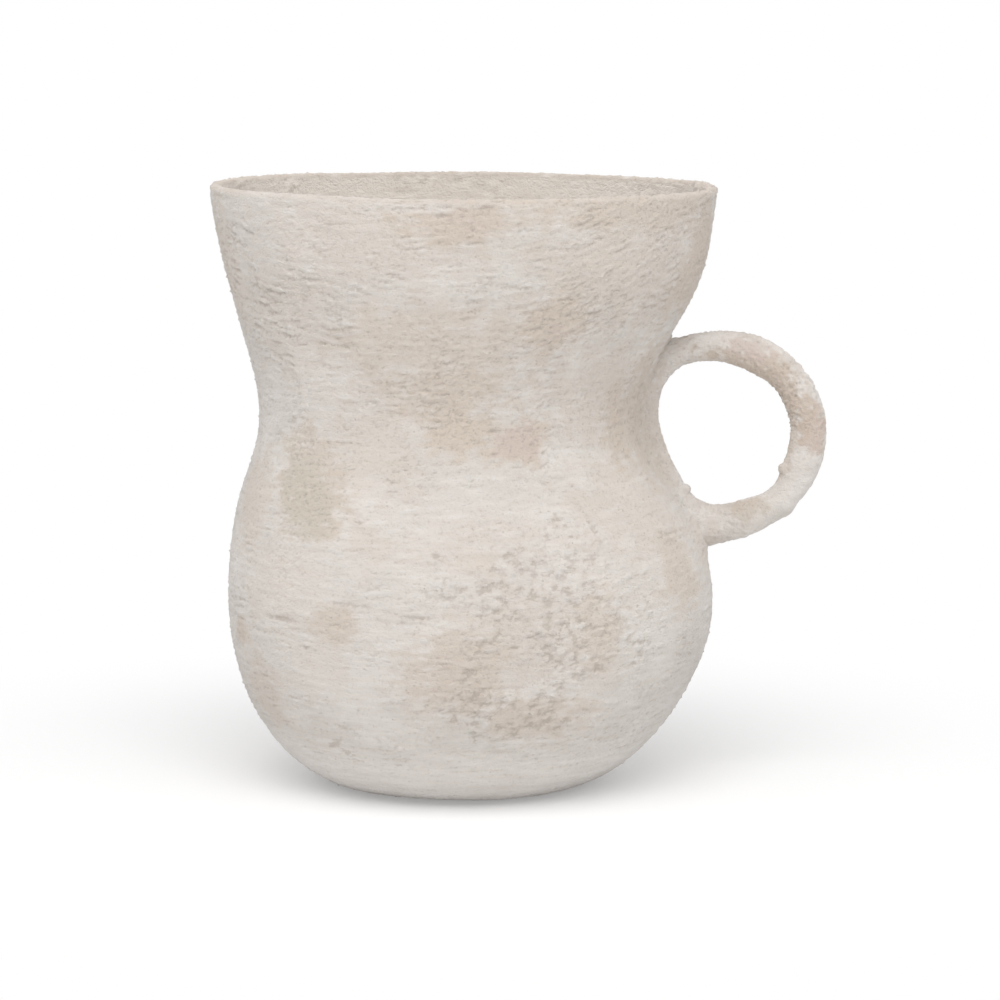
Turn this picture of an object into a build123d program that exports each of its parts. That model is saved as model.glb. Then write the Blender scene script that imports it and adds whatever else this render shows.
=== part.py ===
from build123d import *
import math
import os

# A wide-mouthed jug of fired clay with a deep hollow belly, a drawn-in waist, a flared neck and one ring
# handle, brushed with a rough mineral coat. It is hand-made, so its wall isn't quite round about one axis:
# each level is a circle, and the circles' centres wander a few millimetres towards the handle and away
# from it, which draws the waist in deeper on the handle's side.
#
# Millimetres. The pot stands on the plane z = 0, +Z is up, the handle is towards +X, and the origin is the
# centre of the foot. The pot is the same on both sides of the plane y = 0.

# The outside of the finished wall, from the foot to the lip: outside radius, lean and height.
# Lean is how far the circle's centre stands towards the handle, or away from it where it is negative.
HEIGHT = 240.0
WALL_STATIONS = [
    (46.5, 0.0, 0.0),      # edge of the flat foot
    (58.5, -0.5, 4.0),     # the round turn out of the foot
    (72.0, 0.0, 14.0),
    (86.5, 1.5, 34.0),
    (97.0, 3.5, 68.0),     # widest part of the belly
    (94.0, 2.0, 98.0),
    (84.5, -2.5, 122.0),   # shoulder, running in to the waist
    (76.0, -4.5, 148.0),   # waist
    (81.5, -3.0, 172.0),
    (91.5, 0.5, 196.0),    # flare of the neck
    (98.0, 1.0, 220.0),
    (100.5, 1.0, HEIGHT),  # lip
]
LEVELS = 44                # steps between the circles that the wall is drawn through

COAT = 0.7                 # thickness of the brushed mineral coat
COAT_START = 1.0           # the coat stops this far above the table and leaves the foot bare
COAT_REACH_INSIDE = 92.0   # how far below the lip the coat goes on inside the mouth

WALL_AT_FOOT = 6.5         # thickness of the clay wall where it leaves the floor
WALL_AT_LIP = 3.6          # and at the lip
FLOOR = 8.0                # thickness of the clay floor
CLAY_LIP_ROUND = 1.5       # radius on both edges of the clay lip
COAT_LIP_ROUND = 2.2       # and on both edges of the coat that goes over it

# The ring handle is one rolled coil of clay bent to a closed ring and pressed into the waist, which
# flattens its inner side. Its centreline lies in the plane y = 0.
RING_CENTRE_X = 103.0
RING_CENTRE_Z = 139.2
RING_RADIUS = 35.3         # centreline of its round, free side
COIL_RADIUS = 6.8
WAIST_RUN_X = 81.0         # where the lower round of the centreline turns up the waist
WAIST_RUN_Z = 120.0
WAIST_RUN = 25.5           # straight length of the centreline that lies along the waist

# Soft clay worked into the corner between the coil and the wall, all the way round, as a wad under the
# ring, a thin wad over it and a seam on each side of the part that lies along the waist.
LOWER_WAD_ROUND = 3.5      # hollow radius of the corner clay in each place
SEAM_ROUND = 2.2
UPPER_WAD_ROUND = 1.2
LOWER_WAD_TO = 121.0       # height where the lower wad gives way to the seams
UPPER_WAD_FROM = 160.0     # height where the seams give way to the upper wad

SPAN = 500.0               # side of the blocks that cut the forms at a height


def share_below(guide, height):
    """The share of the guide's length that lies below a height, found by halving."""
    low, high = 0.0, 1.0
    while high - low > 1e-9:
        middle = (low + high) / 2
        if (guide @ middle).Z < height:
            low = middle
        else:
            high = middle
    return low


def wall_levels(lowest):
    """Radius, lean, height and steepness at each level. Steepness is 1 on an upright wall, 0 on a flat one."""
    guide = Spline(*WALL_STATIONS)
    start = share_below(guide, lowest)
    levels = []
    for step in range(LEVELS + 1):
        share = start + (1 - start) * step / LEVELS
        point = guide @ share
        along = guide % share
        levels.append((point.X, point.Y, point.Z, along.Z / math.hypot(along.X, along.Z)))
    return levels


def wall_form(depth_at, lowest=0.0):
    """A solid through the wall's circles, drawn in so that its side lies depth_at(height) under the finish."""
    circles = []
    for radius, lean, height, steepness in wall_levels(lowest):
        circle = Rot(Z=180) * Circle(radius - depth_at(height) / steepness)
        circles.append(Pos(lean, 0, height) * circle)
    return loft(circles)


def above(height):
    """Everything above a height."""
    return Pos(0, 0, height) * Box(SPAN, SPAN, SPAN, align=(Align.CENTER, Align.CENTER, Align.MIN))


def below(height):
    """Everything below a height."""
    return Pos(0, 0, height) * Box(SPAN, SPAN, SPAN, align=(Align.CENTER, Align.CENTER, Align.MAX))


def clay_face(height):
    """Depth of the clay's outer face under the finish: the coat's thickness."""
    return COAT


def hollow_face(height):
    """Depth of the clay's inner face under the finish."""
    return COAT + WALL_AT_FOOT + (WALL_AT_LIP - WALL_AT_FOOT) * height / HEIGHT


def coated_hollow_face(height):
    """Depth of the coat's face inside the mouth under the finish outside."""
    return hollow_face(height) + COAT


def lip_edges(shell):
    """The two edges of a shell's top face."""
    return shell.faces().sort_by(Axis.Z)[-1].edges()


def make_clay_body():
    """The thrown pot: a closed foot and floor, and one wall that thins towards the rounded lip."""
    body = (wall_form(clay_face) - wall_form(hollow_face, FLOOR)) & below(HEIGHT - COAT)
    return fillet(lip_edges(body), CLAY_LIP_ROUND)


def coil_centreline():
    """The closed centreline of the ring handle: its free round, then down, along the waist and back."""
    top = Vector(RING_CENTRE_X, 0, RING_CENTRE_Z + RING_RADIUS)
    outermost = Vector(RING_CENTRE_X + RING_RADIUS, 0, RING_CENTRE_Z)
    bottom = Vector(RING_CENTRE_X, 0, RING_CENTRE_Z - RING_RADIUS)
    free_round = ThreePointArc(top, outermost, bottom)
    lower_round = TangentArc(bottom, Vector(WAIST_RUN_X, 0, WAIST_RUN_Z), tangent=(-1, 0, 0))
    up_the_waist = lower_round % 1
    waist_run = Line(lower_round @ 1, lower_round @ 1 + up_the_waist * WAIST_RUN)
    upper_radius = (top.Z - (waist_run @ 1).Z) / (1 - up_the_waist.X)
    level_again = Vector((waist_run @ 1).X + upper_radius * up_the_waist.Z, 0, top.Z)
    upper_round = TangentArc(waist_run @ 1, level_again, tangent=up_the_waist)
    return Wire([free_round, lower_round, waist_run, upper_round, Line(level_again, top)])


def make_coil():
    """The whole closed coil, with the side that is bedded in the wall."""
    centreline = coil_centreline()
    section = Plane(origin=centreline @ 0, z_dir=centreline % 0) * Circle(COIL_RADIUS)
    return sweep(section, path=centreline)


def corner_clay(clay_form, coil, radius):
    """The clay that rounds the corner between coil and wall with a hollow radius."""
    joined = clay_form + coil
    corner = new_edges(clay_form, coil, combined=joined)
    return fillet(corner, radius) - joined


def make_coat(clay_body, added_clay):
    """The coat: a skin over the outside, over the lip and down inside the mouth, open round the handle."""
    reach = HEIGHT - COAT_REACH_INSIDE
    mouth = wall_form(coated_hollow_face, FLOOR)
    uncoated_hollow = wall_form(hollow_face, FLOOR) & below(reach)
    skin = (wall_form(lambda height: 0.0) - mouth) & above(COAT_START)
    skin = fillet(lip_edges(skin), COAT_LIP_ROUND)
    return skin - uncoated_hollow - clay_body - added_clay


clay_form = wall_form(clay_face)
coil = make_coil()
clay_body = make_clay_body()
ring_handle = coil - clay_form
upper_clay_wad = corner_clay(clay_form, coil, UPPER_WAD_ROUND) & above(UPPER_WAD_FROM)
lower_clay_wad = corner_clay(clay_form, coil, LOWER_WAD_ROUND) & below(LOWER_WAD_TO)
both_seams = corner_clay(clay_form, coil, SEAM_ROUND) & above(LOWER_WAD_TO) & below(UPPER_WAD_FROM)
front_seam_clay, back_seam_clay = both_seams.solids().sort_by(Axis.Y)
rough_coat = make_coat(clay_body, [coil, upper_clay_wad, lower_clay_wad, front_seam_clay, back_seam_clay])

os.makedirs("parts", exist_ok=True)
export_step(clay_body, "parts/clay_body.step")
export_step(rough_coat, "parts/rough_coat.step")
export_step(ring_handle, "parts/ring_handle.step")
export_step(upper_clay_wad, "parts/upper_clay_wad.step")
export_step(lower_clay_wad, "parts/lower_clay_wad.step")
export_step(front_seam_clay, "parts/front_seam_clay.step")
export_step(back_seam_clay, "parts/back_seam_clay.step")
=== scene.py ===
# %% [markdown]
# A one-handled jug under a brushed mineral coat.
#
# The jug is thrown in buff clay, drawn in at the waist, and given one coil of clay bent to a ring for a
# handle. A white mineral slip is then brushed over it, thick and streaky, and in places so thin that the
# clay shows beige. The CAD frame holds the true shape and sizes. This notebook gives every piece its
# surface: each CAD node is replaced by a finer mesh that stays where the node is.

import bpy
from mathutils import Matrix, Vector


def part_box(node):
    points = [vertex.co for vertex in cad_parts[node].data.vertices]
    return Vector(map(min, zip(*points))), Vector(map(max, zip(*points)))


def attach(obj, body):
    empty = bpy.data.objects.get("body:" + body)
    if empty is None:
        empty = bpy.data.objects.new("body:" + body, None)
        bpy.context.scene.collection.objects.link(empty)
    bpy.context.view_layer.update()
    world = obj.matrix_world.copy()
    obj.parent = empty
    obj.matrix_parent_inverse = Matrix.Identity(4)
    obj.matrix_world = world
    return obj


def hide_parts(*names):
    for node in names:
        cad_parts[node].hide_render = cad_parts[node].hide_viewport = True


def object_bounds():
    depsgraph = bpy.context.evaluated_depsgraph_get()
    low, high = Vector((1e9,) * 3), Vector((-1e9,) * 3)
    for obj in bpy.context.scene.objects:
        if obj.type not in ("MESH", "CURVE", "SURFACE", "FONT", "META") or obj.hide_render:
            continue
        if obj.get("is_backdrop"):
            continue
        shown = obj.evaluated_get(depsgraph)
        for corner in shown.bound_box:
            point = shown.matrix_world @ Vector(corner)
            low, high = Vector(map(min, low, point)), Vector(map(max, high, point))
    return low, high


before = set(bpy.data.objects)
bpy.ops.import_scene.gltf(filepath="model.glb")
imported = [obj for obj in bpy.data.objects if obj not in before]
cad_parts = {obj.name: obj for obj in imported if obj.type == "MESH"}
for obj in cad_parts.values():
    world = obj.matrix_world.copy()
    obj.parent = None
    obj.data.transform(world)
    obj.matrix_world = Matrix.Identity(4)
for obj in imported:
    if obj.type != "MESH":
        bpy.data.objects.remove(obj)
cad_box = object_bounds()
print("CAD nodes:", ", ".join(sorted(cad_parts)))

# %% [markdown]
# Lengths in this notebook are in millimetres, because that is how a potter measures, and angles are in
# degrees. A mesh is written in metres only at the moment that it is made. Angle 0 points to the handle,
# and -90 to the camera.

# %% Units and modules
import math

import bpy
import numpy as np
from mathutils import Vector
from mathutils import noise as solid_noise
from mathutils.bvhtree import BVHTree

MM = 0.001
FULL_TURN = 2 * math.pi


def size_of(node):
    """Lowest and highest corner of a CAD node in millimetres."""
    low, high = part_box(node)
    return np.array(low) / MM, np.array(high) / MM


HEIGHT = size_of("rough_coat")[1][2]
print(f"The jug stands {HEIGHT:.1f} mm high")

# %% [markdown]
# The camera stands a little above the lip, far away, behind a long lens, so that the mouth shows as a thin
# oval and the sides hardly converge. It aims at the middle of jug and handle together. Worked out as a
# distance and an elevation, the view is easier to correct than a bare position would be.

# %% Camera
CAMERA_DISTANCE = 1600.0
CAMERA_ELEVATION = 7.7057
AIM_X = 15.3
AIM_HEIGHT = 113.0
LENS = 144.0
SENSOR = 36.0


def in_scene(name, data):
    """A new thing in the scene that shows a mesh, or is a lamp or a camera."""
    thing = bpy.data.objects.new(name, data)
    bpy.context.scene.collection.objects.link(thing)
    return thing


def aim(thing, place, target):
    """Puts a camera or a lamp at a place and turns it to face the target."""
    thing.location = Vector(place) * MM
    thing.rotation_euler = (Vector(target) - Vector(place)).to_track_quat("-Z", "Y").to_euler()


camera = in_scene("camera", bpy.data.cameras.new("camera"))
camera.data.lens = LENS
camera.data.sensor_width = SENSOR
rise = CAMERA_DISTANCE * math.sin(math.radians(CAMERA_ELEVATION))
run = CAMERA_DISTANCE * math.cos(math.radians(CAMERA_ELEVATION))
aim(camera, (AIM_X, -run, AIM_HEIGHT + rise), (AIM_X, 0, AIM_HEIGHT))
bpy.context.scene.camera = camera
bpy.context.scene.view_settings.view_transform = "Standard"
print(f"Camera {run:.0f} mm in front, {AIM_HEIGHT + rise:.0f} mm up")

# %% [markdown]
# The sky, the floor and every finish are small graphs of shader nodes. Wired by hand in the editor, they
# are quick to try out but hard to read again. Here one helper adds a node, sets it and joins it to the nodes
# before it, so that a graph reads from top to bottom like a recipe.

# %% Shader nodes
def add_node(tree, kind, inputs=None, out=0, **settings):
    """Adds a node to a graph and gives one of its outputs, if it has any.

    inputs names sockets, or counts them, with what each one gets: another node's output, a number or a
    colour. settings are the node's own choices.
    """
    node = tree.nodes.new("ShaderNode" + kind)
    for name, choice in settings.items():
        setattr(node, name, choice)
    for socket, value in (inputs or {}).items():
        if isinstance(value, bpy.types.NodeSocket):
            tree.links.new(value, node.inputs[socket])
        else:
            node.inputs[socket].default_value = value
    return node.outputs[out] if len(node.outputs) else None


def empty_graph(owner):
    """The graph of a material or a world, with nothing in it."""
    owner.use_nodes = True
    owner.node_tree.nodes.clear()
    return owner.node_tree


print("The nodes and their sockets are those of Blender", bpy.app.version_string)

# %% [markdown]
# A matt white object wants soft light from a wide source, or its relief turns harsh. The sky gives most of
# it, evenly. One wide lamp hangs high in front. It lights the shoulder most, reaches into the mouth, and
# lets every ridge cast a faint shade below it. A weak one close to the floor lifts the underside of the
# belly, as the white table of a studio does. The camera sees the sky as plain white.

# %% Soft studio light
SKY_LEVEL = 0.575
LAMP_SIZE = 1500.0
LAMP_PLACE = (0.0, -1150.0, 1650.0)
LAMP_POWER = 24.6
LOW_LAMP_PLACE = (0.0, -1500.0, 60.0)
LOW_LAMP_POWER = 6.3


def make_sky():
    """A world that lights evenly at SKY_LEVEL, and looks white to the camera and in reflections."""
    world = bpy.data.worlds.new("studio_sky")
    bpy.context.scene.world = world
    tree = empty_graph(world)
    light = add_node(tree, "Background", {"Color": (1, 1, 1, 1), "Strength": SKY_LEVEL})
    white = add_node(tree, "Background", {"Color": (1, 1, 1, 1)})
    seen = add_node(tree, "LightPath", out="Is Camera Ray")
    mirrored = seen.node.outputs["Is Glossy Ray"]
    seen_or_mirrored = add_node(tree, "Math", {0: seen, 1: mirrored}, operation="MAXIMUM")
    mixed = add_node(tree, "MixShader", {0: seen_or_mirrored, 1: light, 2: white})
    add_node(tree, "OutputWorld", {"Surface": mixed})


def make_lamp(name, place, size, power):
    """A square area lamp that faces the middle of the jug."""
    lamp = in_scene(name, bpy.data.lights.new(name, "AREA"))
    lamp.data.size = size * MM
    lamp.data.energy = power
    aim(lamp, place, (0, 0, HEIGHT / 2))


make_sky()
make_lamp("wide_lamp", LAMP_PLACE, LAMP_SIZE, LAMP_POWER)
make_lamp("low_lamp", LOW_LAMP_PLACE, LAMP_SIZE, LOW_LAMP_POWER)
print(f"Sky at a strength of {SKY_LEVEL}, lamps of {LAMP_POWER} and {LOW_LAMP_POWER} watts")

# %% [markdown]
# The floor is one big face, matt and nearly white, so it takes the jug's soft shadow and throws light back
# up under the belly. To the camera alone it is a little lighter still, and away from the jug it turns into
# plain white there, so it has no visible edge or horizon.

# %% Floor
FLOOR_REACH = 60000.0
FLOOR_WHITE = 0.97
SHADOW_REACH = 110.0
FADE_REACH = 330.0
SHADOW_SOFTENED = 0.3


def make_floor_finish():
    """Matt white near the jug, and plain white to the camera further out."""
    material = bpy.data.materials.new("pale_floor")
    tree = empty_graph(material)
    seen = add_node(tree, "LightPath", out="Is Camera Ray")
    whiteness = add_node(tree, "MapRange", {"Value": seen, "To Min": FLOOR_WHITE}, out="Result")
    matt = add_node(tree, "BsdfDiffuse", {"Color": whiteness})
    plain = add_node(tree, "Emission")
    place = add_node(tree, "TexCoord", out="Object")
    distance = add_node(tree, "VectorMath", {0: place}, out="Value", operation="LENGTH")
    reach = {"From Min": SHADOW_REACH * MM, "From Max": FADE_REACH * MM}
    fade = add_node(tree, "MapRange", {"Value": distance, **reach, "To Min": SHADOW_SOFTENED}, out="Result",
                    interpolation_type="SMOOTHSTEP")
    share = add_node(tree, "Math", {0: fade, 1: seen}, operation="MULTIPLY")
    mixed = add_node(tree, "MixShader", {0: share, 1: matt, 2: plain})
    add_node(tree, "OutputMaterial", {"Surface": mixed})
    return material


edge = FLOOR_REACH * MM
floor_corners = [(-edge, -edge, 0), (edge, -edge, 0), (edge, edge, 0), (-edge, edge, 0)]
floor_mesh = bpy.data.meshes.new("floor")
floor_mesh.from_pydata(floor_corners, [], [(0, 1, 2, 3)])
floor_mesh.materials.append(make_floor_finish())
floor = in_scene("floor", floor_mesh)
floor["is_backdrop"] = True
print(f"The floor turns plain white to the camera {FADE_REACH:.0f} mm from the jug's middle")

# %% [markdown]
# Every level of the jug is a circle whose centre wanders a few millimetres to and from the handle. Two
# sizes give that circle: its radius, and its lean, which is how far its centre stands towards the handle.
# They could be copied from the drawing. Here they are measured on the CAD solid instead, so the finish
# still fits if the drawing changes: one ray finds the wall on the left and one finds it at the back.

# %% Measure the wall on the CAD solids
RAY_START = 300.0
LEVELS_MEASURED = 90
LINE_DEGREE = 18


def distance_along(first, second):
    """How far along a line each of its points lies, from their two coordinates."""
    return np.concatenate([[0], np.cumsum(np.hypot(np.diff(first), np.diff(second)))])


def circle_at(faces, height, from_inside):
    """Radius and lean of a CAD wall at one height, seen from outside or from its own hollow."""
    axis = Vector((0, 0, height)) * MM
    found = []
    for way in (Vector((-1, 0, 0)), Vector((0, 1, 0))):
        start = axis if from_inside else axis + way * RAY_START * MM
        hit = faces.ray_cast(start, way if from_inside else -way)[0]
        found.append((hit - axis).dot(way) / MM)
    left, back = found
    lean = (back**2 - left**2) / (2 * left)
    return left + lean, lean


def wall_line(node, lowest, highest, from_inside=False):
    """Radius, lean and height along a CAD wall: smooth curves over its length, and that length."""
    faces = BVHTree.FromObject(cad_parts[node], bpy.context.evaluated_depsgraph_get())
    shares = (1 - np.cos(np.linspace(0, math.pi, LEVELS_MEASURED))) / 2
    heights = lowest + (highest - lowest) * shares
    radii, leans = np.array([circle_at(faces, height, from_inside) for height in heights]).T
    along = distance_along(radii, heights)
    fit = np.polynomial.Chebyshev.fit
    curves = [fit(along, sizes, LINE_DEGREE) for sizes in (radii, leans, heights)]
    worst = np.abs(curves[0](along) - radii).max()
    print(f"{node}: {along[-1]:.1f} mm of wall, drawn to within {worst:.2f} mm")
    return curves, along[-1]


def even_points(line, step):
    """Rows of radius, lean and height along a wall line, evenly spaced at about the step."""
    curves, length = line
    along = np.linspace(0, length, round(length / step) + 1)
    return np.stack([curve(along) for curve in curves], axis=1)


COAT_START = size_of("rough_coat")[0][2]
LIP_ROUND = 2.2
FLOOR_THICKNESS = 8.0
COAT_REACH = 92.0
BELOW_LIP = HEIGHT - LIP_ROUND
COAT_END = HEIGHT - COAT_REACH
# The lowest ray passes a little above each wall's lower end, so that it can't slip by under it.
ABOVE_COAT_START = 0.1
ABOVE_FOOT = 0.2
ABOVE_INNER_END = 0.5
outer_line = wall_line("rough_coat", COAT_START + ABOVE_COAT_START, BELOW_LIP)
mouth_line = wall_line("rough_coat", COAT_END + ABOVE_INNER_END, BELOW_LIP, from_inside=True)
clay_outer_line = wall_line("clay_body", ABOVE_FOOT, BELOW_LIP)
hollow_line = wall_line("clay_body", FLOOR_THICKNESS + ABOVE_INNER_END, BELOW_LIP, from_inside=True)

# %% [markdown]
# The coat is one skin: up the outside, over the lip and down inside the mouth. Its face is built as one even
# grid, rows along that way and columns round the jug, because a pattern drawn on an even grid has the same
# grain everywhere. The grid is fine enough, under a millimetre, to carry each brush ridge as real relief.

# %% The grid of the coat
ROW_STEP = 0.72
COLUMNS = 640
LIP_POINTS = 9


def lip_points(outside, inside):
    """The rounded lip between the last rows outside and inside, as rows of radius, lean and height."""
    turn = np.linspace(0, math.pi / 2, LIP_POINTS)
    outer_radius = outside[0] - LIP_ROUND + LIP_ROUND * np.cos(turn)
    inner_radius = inside[0] + LIP_ROUND - LIP_ROUND * np.sin(turn)
    outer_height = BELOW_LIP + LIP_ROUND * np.sin(turn)
    inner_height = BELOW_LIP + LIP_ROUND * np.cos(turn)
    radius = np.concatenate([outer_radius, inner_radius])
    height = np.concatenate([outer_height, inner_height])
    return np.stack([radius, np.full_like(radius, outside[1]), height], axis=1)


def respaced(points, step):
    """The same line of points evenly spaced, and how far along it each one lies."""
    along = distance_along(points[:, 0], points[:, 2])
    even = np.linspace(0, along[-1], round(along[-1] / step) + 1)
    return np.stack([np.interp(even, along, column) for column in points.T], axis=1), even


outside_points = even_points(outer_line, ROW_STEP)
mouth_points = even_points(mouth_line, ROW_STEP)[::-1]
lip = lip_points(outside_points[-1], mouth_points[0])
coat_points, ALONG = respaced(np.concatenate([outside_points[:-1], lip, mouth_points[1:]]), ROW_STEP)
RADIUS, LEAN, LEVEL = coat_points.T
ROWS = len(ALONG)
LIP_ROW = int(LEVEL.argmax())
INSIDE = np.arange(ROWS) > LIP_ROW
ANGLE = np.arange(COLUMNS) * FULL_TURN / COLUMNS
MEAN_RADIUS = RADIUS.mean()
print(f"Coat grid: {ROWS} rows by {COLUMNS} columns, {ALONG[-1]:.0f} mm from foot to inner edge")

# %% [markdown]
# A brush leaves fine parallel ridges, long one way and narrow the other. Noise can be given that grain in
# one step: a Fourier transform splits it into waves, and only the waves of the wanted pitch and direction
# are kept. The result closes on itself round the jug with no seam, which a plain image of noise would not.

# %% Marks on a grid that closes on itself
class Marks:
    """Makes patterns on one wrapped grid, each with a mean of 0 and a spread of about 1."""

    def __init__(self, rows, columns, row_step, column_step, seed):
        self.shape = (rows, columns)
        self.up = np.fft.fftfreq(rows, row_step)[:, None]
        self.round = np.fft.rfftfreq(columns, column_step)[None, :]
        self.random = np.random.default_rng(seed)

    def kept(self, raw, keep):
        """The raw pattern with only some of its waves."""
        return np.fft.irfft2(np.fft.rfft2(raw) * keep, self.shape)

    def drawn(self, keep):
        """Some of the waves of plain noise, brought to the mean and spread of every pattern."""
        marks = self.kept(self.random.standard_normal(self.shape), keep)
        return (marks - marks.mean()) / marks.std()

    def strokes(self, pitch, length, slant=0.0):
        """Brush ridges a pitch apart, each about a length long, rising to the right by the slant."""
        lean = math.radians(slant)
        along = self.round * math.cos(lean) + self.up * math.sin(lean)
        across = (self.up * math.cos(lean) - self.round * math.sin(lean)) * pitch
        return self.drawn(np.exp(-((along * length) ** 2)) * across**2 * np.exp(-(across**2)))

    def lumps(self, pitch):
        """Rounded lumps about a pitch apart, with no direction."""
        reach = np.hypot(self.round, self.up) * pitch
        return self.drawn(reach**2 * np.exp(-(reach**2)))

    def swell(self, pitch):
        """A slow rise and fall, with nothing in it finer than about the pitch."""
        return self.drawn(np.exp(-((np.hypot(self.round, self.up) * pitch) ** 2)))

    def dots(self, count, size, where=None, stretch=1.0):
        """Single dots of height 1 at scattered points, more of them where the mask is high."""
        chance = np.ones(self.shape) if where is None else np.clip(where, 0, None)
        chosen = self.random.choice(chance.size, count, replace=False, p=(chance / chance.sum()).ravel())
        raw = np.zeros(chance.size)
        raw[chosen] = self.random.uniform(0.5, 1.0, count)
        reach = np.hypot(stretch * self.round, self.up) * size * 2
        dots = self.kept(raw.reshape(self.shape), np.exp(-(reach**2)))
        return dots / dots.max()


def smooth(values, low, high):
    """0 below low, 1 above high, and an even S between."""
    share = np.clip((values - low) / (high - low), 0, 1)
    return share * share * (3 - 2 * share)


coat_marks = Marks(ROWS, COLUMNS, ALONG[1], MEAN_RADIUS * FULL_TURN / COLUMNS, seed=11)
trial = coat_marks.strokes(2.0, 12.0)
print(f"A trial pattern of strokes runs from {trial.min():.1f} to {trial.max():.1f}")

# %% [markdown]
# Some marks belong at one place: a bare patch at the waist, a scratch on the belly. Each is an oval on the
# wall, given by its angle, its height and its half sizes. The function below says how deep every point of
# the grid lies in such an oval, and the marks are then worked out from that depth.

# %% Ovals on the wall
def row_at(height, inside):
    """Distance along the coat at which it passes a height, outside or inside the mouth."""
    rows = np.flatnonzero(INSIDE == inside)
    return ALONG[rows[np.abs(LEVEL[rows] - height).argmin()]]


def oval(angle, height, half_width, half_height, tilt=0.0, inside=False):
    """1 in the middle of an oval on the wall, 0 on its edge and less outside it."""
    turn = (ANGLE - math.radians(angle) + math.pi) % FULL_TURN - math.pi
    sideways = turn[None, :] * RADIUS[:, None]
    upwards = (ALONG - row_at(height, inside))[:, None]
    lean = math.radians(tilt)
    wide = (sideways * math.cos(lean) + upwards * math.sin(lean)) / half_width
    high = (upwards * math.cos(lean) - sideways * math.sin(lean)) / half_height
    return 1 - np.hypot(wide, high)


WAIST_HEIGHT = 148.0
print(f"The waist, {WAIST_HEIGHT:.0f} mm high, lies {row_at(WAIST_HEIGHT, False):.0f} mm up the wall")

# %% [markdown]
# Slip that is brushed on by hand isn't equally thick, and where it lies thickest it is whitest: round the
# shoulder and the waist. Low on the belly and down inside the mouth it is whitest too, as painted light
# against the shade that falls there. One plain white would look like paint.
# So each point of the grid keeps a number for how thick the slip lies, from slow noise and a few soft ovals,
# and the finish later goes from grey to white by it. The same ovals, turned half round, serve the back.

# %% Thick white slip
WHITE_MEAN = 0.22
WHITE_SWING = 0.18
# Angle, height, half width, half height, tilt and how thick the slip lies, 0 to 1.
WHITE_PATCHES = {
    "shoulder and middle of the belly": (-92, 106, 66, 20, 0, 0.32),
    "left of the waist": (-116, 118, 24, 14, 0, 0.4),
    "middle of the neck": (-92, 208, 30, 10, -4, 0.3),
    "right of the waist": (-56, 138, 20, 14, 0, 0.4),
    "left of the belly": (-120, 50, 34, 14, 0, 0.5),
}
WHITE_EDGE = (-0.5, 0.7)
# Painted light: low on the belly, which faces down into shade, the slip is painted whiter.
HIGHER_BEHIND = 8
LOW_PAINTED_LIGHT = 0.9
LOW_PAINTED_LIGHT_FROM, LOW_PAINTED_LIGHT_TO = 34, 14


def white_oval(*sizes):
    """How much of an oval is at each point, with its edge bent by slow noise."""
    return smooth(oval(*sizes) + 0.2 * coat_marks.swell(14.0), *WHITE_EDGE)


def lay_white():
    """How thick and white the slip lies at each point, 0 to 1."""
    white = WHITE_MEAN + WHITE_SWING * coat_marks.swell(34.0)
    for angle, height, *sizes, strength in WHITE_PATCHES.values():
        here = white_oval(angle, height, *sizes)
        behind = white_oval(angle + 180, height + HIGHER_BEHIND, *sizes)
        white = np.maximum.reduce([white, strength * here, strength * behind])
    # Painted light: whiter low on the belly, and fully white inside the mouth, against the shade there.
    white = np.maximum(white, LOW_PAINTED_LIGHT * smooth(-LEVEL, -LOW_PAINTED_LIGHT_FROM, -LOW_PAINTED_LIGHT_TO)[:, None])
    return np.clip(np.where(INSIDE[:, None], 1.0, white), 0, 1)


white = lay_white()
print(f"The slip is on average {white.mean():.2f} thick, where 1 is the thickest")
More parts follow.
